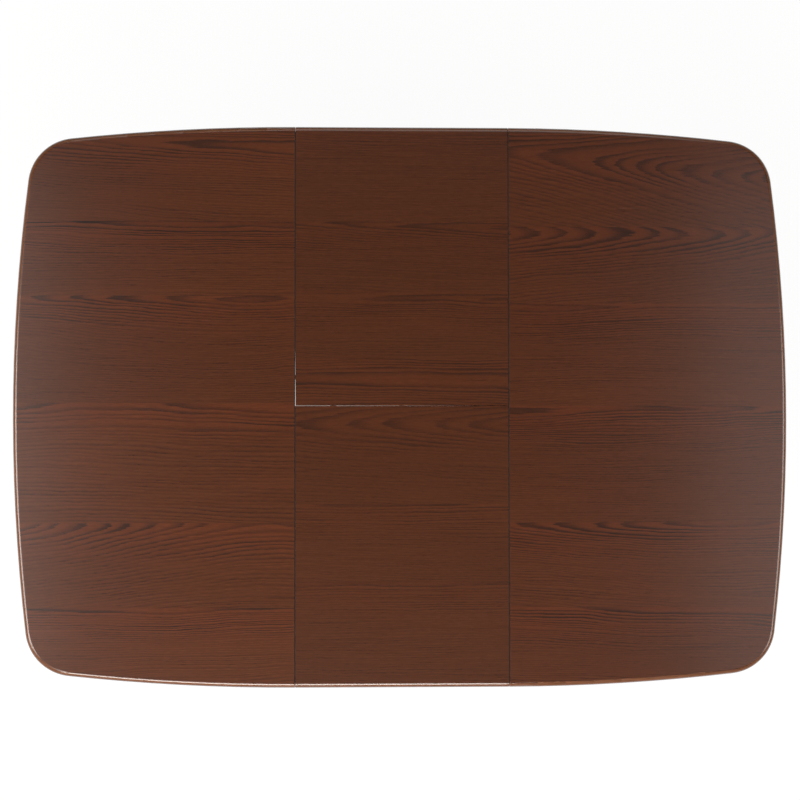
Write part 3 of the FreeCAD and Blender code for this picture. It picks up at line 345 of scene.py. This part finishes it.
def board_marks(tree, place):
    """What a place on a board is, as shares told from where it lies and how far it faces up.

    They are edge (a face on edge), upper (not the underside), bare (wood inside the joints), rolled (the rim
    and the fold's arris, painted pale: a painted highlight on the fold's arris, and on the rim partly stain
    worn thin, partly painted highlight) and eased (the joints' arrises, darkened as painted shade)."""
    past_joint, joint_wall, joint_arris = 0.002, 0.0025, 0.0022
    rim_width, fold_width, fold_fade = 0.0095, 0.003, 0.2
    facing = wire(tree, "SeparateXYZ", {0: wire(tree, "TexCoord").outputs["Normal"]}).outputs[2]
    level = calc(tree, "ABSOLUTE", facing)
    out, back = calc(tree, "ABSOLUTE", place[0]), calc(tree, "ABSOLUTE", place[1])
    edge = calc(tree, "LESS_THAN", level, 0.7)
    upper = calc(tree, "GREATER_THAN", facing, -0.5)
    inner = calc(tree, "LESS_THAN", out, JOINT_X + past_joint)
    inner = calc(tree, "MULTIPLY", inner, calc(tree, "LESS_THAN", back, RIM_Y - rim_width))
    steep = calc(tree, "MULTIPLY_ADD", calc(tree, "GREATER_THAN", out, JOINT_X - joint_wall), 0.45, 0.3)
    bare = calc(tree, "MULTIPLY", inner, calc(tree, "LESS_THAN", level, steep))
    # The joints' arrises, marked to be painted dark as painted shade.
    eased = calc(tree, "MULTIPLY", inner, calc(tree, "GREATER_THAN", out, JOINT_X - joint_arris))
    eased = calc(tree, "MULTIPLY", eased, calc(tree, "LESS_THAN", level, 0.97))
    # The fold's arris, marked for a painted highlight that fades out along x.
    fold = calc(tree, "LESS_THAN", back, fold_width)
    fold = calc(tree, "MULTIPLY", fold, slope(tree, place[0], 0.0, fold_fade, 1.0, 0.0))
    # The rim and the fold's arris take pale paint: a painted highlight on the fold, and on the rim partly
    # stain worn thin, partly painted highlight.
    rim_and_fold = calc(tree, "MAXIMUM", fold, calc(tree, "SUBTRACT", 1.0, inner))
    rolled = calc(tree, "MULTIPLY", rim_and_fold, slope(tree, facing, 0.35, 0.75))
    rolled = calc(tree, "MULTIPLY", rolled, slope(tree, facing, 0.93, 0.999, 1.0, 0.0))
    return edge, upper, bare, rolled, eased


def strip_values(tree, y, strips):
    """The eight values of each strip after its front edge, as outputs that step from strip to strip along y.

    Two stepped ramps hold four values each, from -2 to 2, as shares from 0 to 1."""
    reach, span = 0.65, 4.0
    row = calc(tree, "DIVIDE", calc(tree, "ADD", y, reach), 2 * reach)
    outputs = []
    for first in (1, 5):
        ramp = wire(tree, "ValToRGB", {0: row})
        stops = ramp.color_ramp
        stops.interpolation = "CONSTANT"
        while len(stops.elements) < len(strips):
            stops.elements.new(1.0)
        for stop, strip in zip(stops.elements, strips):
            stop.position = (strip[0] + reach) / (2 * reach)
            stop.color = [0.5 + value / span for value in strip[first:first + 4]]
        split = wire(tree, "SeparateXYZ", {0: ramp.outputs[0]}).outputs
        for socket in (*split, ramp.outputs[1]):
            outputs.append(calc(tree, "MULTIPLY", calc(tree, "SUBTRACT", socket, 0.5), span))
    return outputs


def veneer(name, strips, tone=(1.0, 1.0, 1.0)):
    """Strips of sliced veneer, listed from front to rear. Each has its front edge's y, the y of its heart
    line at x = 0, the heart line's tilt, the slant of its rings and the x where they turn, the depth of the
    cut under the heart, the strength of its figure, a number for its own noise and the width of its rings
    in ring units.

    Rings are a saw-tooth of sqrt(across^2 + depth^2) + slant * sqrt((x - turn)^2 + bend^2), the cut of a
    plane through a bent cone, where across is the distance from the heart line, shaken by slow noise. The
    figure and a red glow fade away from the heart. On the board's edges the grain follows the edge instead.
    The rolled rim is painted pale, partly as stain worn thin and partly as a painted highlight; the fold's
    arris gets a painted highlight and the joints' arrises painted shade; and the faces inside the joints are
    bare wood."""
    ring_unit, bend, figure_depth = 0.005, 0.15, 0.00001
    slow_shake, wander_shake, cone_shake = 0.03, 0.012, 0.016
    material, tree, shader, place = finish(name, coat_roughness=0.16)
    edge, upper, bare, rolled, eased = board_marks(tree, place)
    x = calc(tree, "MULTIPLY_ADD", edge, place[1], place[0])
    y = calc(tree, "MULTIPLY_ADD", edge, calc(tree, "SUBTRACT", place[2], place[1]), place[1])
    place = [x, y, place[2]]
    heart, tilt, slant, turn, depth, strength, seed, width = strip_values(tree, y, strips)
    seed = calc(tree, "MULTIPLY", seed, 37.0)

    slow = cloud(tree, place, (1.7, 5.0, 0.0), seed, 1.0)
    wander = cloud(tree, place, (7.0, 22.0, 0.0), calc(tree, "ADD", seed, 9.0))
    patch = cloud(tree, place, (4.0, 30.0, 0.0), calc(tree, "ADD", seed, 21.0))
    mottle = cloud(tree, place, (60.0, 420.0, 0.0), calc(tree, "ADD", seed, 33.0), 3.0)
    fibre = cloud(tree, place, (7.0, 270.0, 0.0), seed, 4.0)
    pores = slope(tree, cloud(tree, place, (55.0, 1700.0, 0.0), seed), 0.1, 0.2)

    across = calc(tree, "SUBTRACT", calc(tree, "MULTIPLY_ADD", tilt, x, heart), y)
    across = calc(tree, "MULTIPLY_ADD", slow, slow_shake, across)
    across = calc(tree, "MULTIPLY_ADD", wander, wander_shake, across)
    square = calc(tree, "MULTIPLY_ADD", depth, depth, calc(tree, "MULTIPLY", across, across))
    off = calc(tree, "SUBTRACT", x, turn)
    bent = calc(tree, "SQRT", calc(tree, "MULTIPLY_ADD", off, off, bend ** 2))
    cone = calc(tree, "MULTIPLY_ADD", slant, bent, calc(tree, "SQRT", square))
    cone = calc(tree, "MULTIPLY_ADD", slow, cone_shake, cone)
    turns = calc(tree, "DIVIDE", cone, calc(tree, "MULTIPLY", width, ring_unit))
    late = late_wood(tree, turns, fibre, seed, 1.2, 0.5, 0.25, 0.78, 0.84)

    near = slope(tree, calc(tree, "ABSOLUTE", across), 0.02, 0.10, 1.0, 0.0)
    force = calc(tree, "MULTIPLY_ADD", near, 0.5, 0.5)
    force = calc(tree, "MULTIPLY", force, slope(tree, patch, -0.2, 0.2, 0.45, 1.0))
    force = calc(tree, "MULTIPLY", calc(tree, "MULTIPLY", force, strength),
                 calc(tree, "MULTIPLY_ADD", upper, 0.7, 0.3))
    glow = calc(tree, "MULTIPLY_ADD", calc(tree, "MULTIPLY", near, strength), 0.4, 0.1)
    plain, red, dark = [tuple(np.multiply(colour, tone)) for colour in (STAIN, RED_STAIN, DARK_LINE)]
    colour = blend(tree, calc(tree, "MULTIPLY", late, force), blend(tree, glow, plain, red), dark)
    # Pale paint on the rim and the fold's arris: a painted highlight, and on the rim partly also stain worn
    # thin.
    colour = blend(tree, calc(tree, "MULTIPLY", rolled, 0.8), colour, WEAR_AND_HIGHLIGHT)
    # Painted shade: the joints' arrises are darkened.
    colour = blend(tree, calc(tree, "MULTIPLY", eased, 0.75), colour, JOINT_SHADE)
    shade = calc(tree, "MULTIPLY", calc(tree, "MINIMUM", fibre, 0.05), 0.6)
    shade = calc(tree, "MULTIPLY_ADD", slow, 0.3, shade)
    colour = shaded(tree, colour, calc(tree, "MULTIPLY_ADD", mottle, 0.6, shade))
    colour = blend(tree, calc(tree, "MULTIPLY", pores, 0.3), colour, dark)

    rough = calc(tree, "MAXIMUM", calc(tree, "MULTIPLY_ADD", fibre, 0.05, 0.26), bare)
    coat = calc(tree, "MULTIPLY_ADD", rolled, 0.4, calc(tree, "MULTIPLY_ADD", bare, -0.6, 0.6))
    tree.links.new(coat, shader.inputs["Coat Weight"])
    height = calc(tree, "MULTIPLY_ADD", late, -0.5, calc(tree, "MULTIPLY", pores, -1.0))
    set_surface(tree, shader, colour, rough, height, figure_depth)
    return material


dress(veneer("veneer_left", [
    (-0.65, -0.440, 0.00, 0.010, -0.50, 0.012, 0.95, 0.11, 1.0),
    (-0.440, -0.256, 0.00, -0.150, -0.30, 0.026, 0.90, 0.52, 1.45),
    (-0.256, 0.004, 0.00, -0.024, -0.61, 0.030, 1.00, 0.31, 1.6),
    (0.004, 0.234, 0.00, 0.060, -0.34, 0.016, 0.85, 0.74, 1.0),
    (0.234, 0.398, 0.00, 0.008, -0.50, 0.010, 1.00, 0.93, 1.1),
    (0.398, 0.545, -0.05, -0.030, -0.90, 0.020, 0.80, 0.43, 1.1),
]), "left_top")
dress(veneer("veneer_right", [
    (-0.65, -0.440, 0.00, 0.012, 0.60, 0.012, 0.95, 0.27, 1.0),
    (-0.440, -0.256, 0.00, 0.080, 0.69, 0.020, 1.00, 0.66, 1.1),
    (-0.256, -0.005, 0.00, 0.030, 0.30, 0.012, 1.05, 0.18, 1.0),
    (-0.005, 0.220, 0.00, -0.012, 0.45, 0.010, 0.85, 0.83, 1.0),
    (0.220, 0.380, 0.00, 0.110, -0.90, 0.022, 0.90, 0.57, 1.45),
    (0.390, 0.574, -0.091, -0.160, 0.15, 0.030, 0.80, 0.39, 1.8),
], (0.95, 0.95, 1.0)), "right_top")


# Leaf. Two boards of the same veneer, quieter in figure and a shade darker.
# They are hinged across the middle and fold face to face when the leaf is put away.
dress(veneer("veneer_leaf", [
    (-0.65, -0.385, 0.00, 0.010, 0.00, 0.012, 0.60, 0.21, 1.0),
    (-0.385, -0.215, 0.00, 0.015, 0.10, 0.012, 0.60, 0.62, 1.0),
    (-0.215, -0.036, 0.00, -0.070, -0.90, 0.030, 0.60, 0.35, 1.4),
    (0.0, 0.055, 0.00, 0.012, 0.00, 0.016, 0.85, 0.71, 1.2),
    (0.100, 0.235, 0.00, -0.015, -0.30, 0.010, 0.65, 0.97, 1.0),
    (0.245, 0.395, -0.02, -0.020, -0.30, 0.010, 0.60, 0.48, 1.0),
    (0.400, 0.60, 0.00, 0.012, 0.00, 0.012, 0.40, 0.83, 1.0),
], (0.88, 0.91, 0.95)), "leaf_front", "leaf_rear")


# Hinges. Invisible hinges of zinc-plated steel: cups let into the boards' edges at the fold.
# Arc-shaped links slide in the cups as the leaf folds.
dress(zinc, "hinge_cups_front", "hinge_cups_rear", "hinge_links_inner", "hinge_links_outer")


# Latches. Flat zinc-plated hooks that turn on headed pivots under the top halves.
# They catch keeper studs under the leaf and hold the boards together.
dress(zinc, *[f"latch_hook_{corner}" for corner in CORNERS])
dress(zinc, "latch_pivots_left", "latch_pivots_right", "latch_keepers_front", "latch_keepers_rear")


# Floor. A plain white floor that shows almost white and keeps a faint shadow of the table. From below it
# can be seen through, so that the frame and the slides can be looked at.
def seen(tree):
    """1 for rays that are looked along, in mirrors and glass too, and 0 for light that bounces about."""
    rays = wire(tree, "LightPath").outputs
    either = calc(tree, "MAXIMUM", rays["Is Camera Ray"], rays["Is Glossy Ray"])
    return calc(tree, "MAXIMUM", either, rays["Is Transmission Ray"])


half_floor, glow_strength, glow_share = 14.0, 1.05, 0.9
floor_mesh = bpy.data.meshes.new("floor")
ends = (-half_floor, half_floor)
floor_mesh.from_pydata([(x, y, 0.0) for y in ends for x in ends], [], [(0, 1, 3, 2)])
floor = bpy.data.objects.new("floor", floor_mesh)
bpy.context.scene.collection.objects.link(floor)
white = bpy.data.materials.new("white_floor")
white.use_nodes = True
tree = white.node_tree
tree.nodes.remove(tree.nodes["Principled BSDF"])
paper = wire(tree, "BsdfDiffuse", {"Color": (0.8, 0.8, 0.8, 1.0)}).outputs[0]
glow = wire(tree, "Emission", {"Color": (1.0, 1.0, 1.0, 1.0), "Strength": glow_strength}).outputs[0]
share = calc(tree, "MULTIPLY", seen(tree), glow_share)
lit = wire(tree, "MixShader", {0: share, 1: paper, 2: glow}).outputs[0]
below = wire(tree, "NewGeometry").outputs["Backfacing"]
clear = wire(tree, "BsdfTransparent").outputs[0]
lit = wire(tree, "MixShader", {0: below, 1: lit, 2: clear}).outputs[0]
tree.links.new(lit, tree.nodes["Material Output"].inputs["Surface"])
floor_mesh.materials.append(white)


# Light. Large soft lamps in front, at the left and at the right, and a weaker one behind. Two dim ceiling
# lamps beyond the ends mirror in the lacquer as a sheen. The surround is dark, and shows almost white.
def lamp(name, place, target, width, height, watts, tint=(1.0, 1.0, 1.0)):
    """A flat rectangular lamp at a place, turned to a target, that isn't seen itself."""
    data = bpy.data.lights.new(name, "AREA")
    data.shape, data.size, data.size_y = "RECTANGLE", width, height
    data.energy, data.color = watts, tint
    made = bpy.data.objects.new(name, data)
    made.visible_camera = False
    made.location = place
    made.rotation_euler = (Vector(target) - Vector(place)).to_track_quat("-Z", "Y").to_euler()
    bpy.context.scene.collection.objects.link(made)


WARM = (1.0, 0.93, 0.88)
lamp("front_lamp", (-0.4, -2.4, 3.3), (-0.3, -0.3, 0.76), 2.2, 1.1, 112, WARM)
lamp("left_lamp", (-2.4, -0.5, 3.0), (-0.7, -0.2, 0.76), 1.8, 1.2, 56, WARM)
lamp("right_lamp", (2.4, -0.5, 3.0), (0.7, -0.2, 0.76), 1.8, 1.2, 32, WARM)
lamp("rear_lamp", (0.0, 2.7, 3.8), (0.0, 0.3, 0.76), 3.0, 2.0, 22)
lamp("left_ceiling", (-2.1, -0.1, 4.4), (-2.1, -0.1, 0.0), 1.5, 2.6, 14)
lamp("right_ceiling", (2.1, -0.1, 4.4), (2.1, -0.1, 0.0), 1.5, 2.6, 8.5)

surround_light, surround_shown = 0.03, 0.92
world = bpy.data.worlds.new("surround")
bpy.context.scene.world = world
world.use_nodes = True
tree = world.node_tree
sky = tree.nodes["Background"]
sky.inputs["Color"].default_value = (1.0, 1.0, 1.0, 1.0)
camera_ray = wire(tree, "LightPath").outputs["Is Camera Ray"]
strength = calc(tree, "MULTIPLY_ADD", camera_ray, surround_shown, surround_light)
tree.links.new(strength, sky.inputs["Strength"])


# Camera. High above the table, a little to its front left, looking almost straight down.
# Its long lens keeps the sides of the top nearly out of sight.
lean, sway, roll = np.radians(2.217), np.radians(-1.833), np.radians(-0.06)
camera_data = bpy.data.cameras.new("camera")
camera_data.sensor_width, camera_data.lens = 36.0, 87.13
camera_data.clip_end = 100.0
camera = bpy.data.objects.new("camera", camera_data)
camera.location = (-0.1393, -0.1503, 4.962)
aim = Matrix.Rotation(roll, 3, "Z") @ Matrix.Rotation(sway, 3, "Y") @ Matrix.Rotation(lean, 3, "X")
camera.rotation_euler = aim.to_euler()
bpy.context.scene.collection.objects.link(camera)
bpy.context.scene.camera = camera
bpy.context.scene.view_settings.view_transform = "Standard"
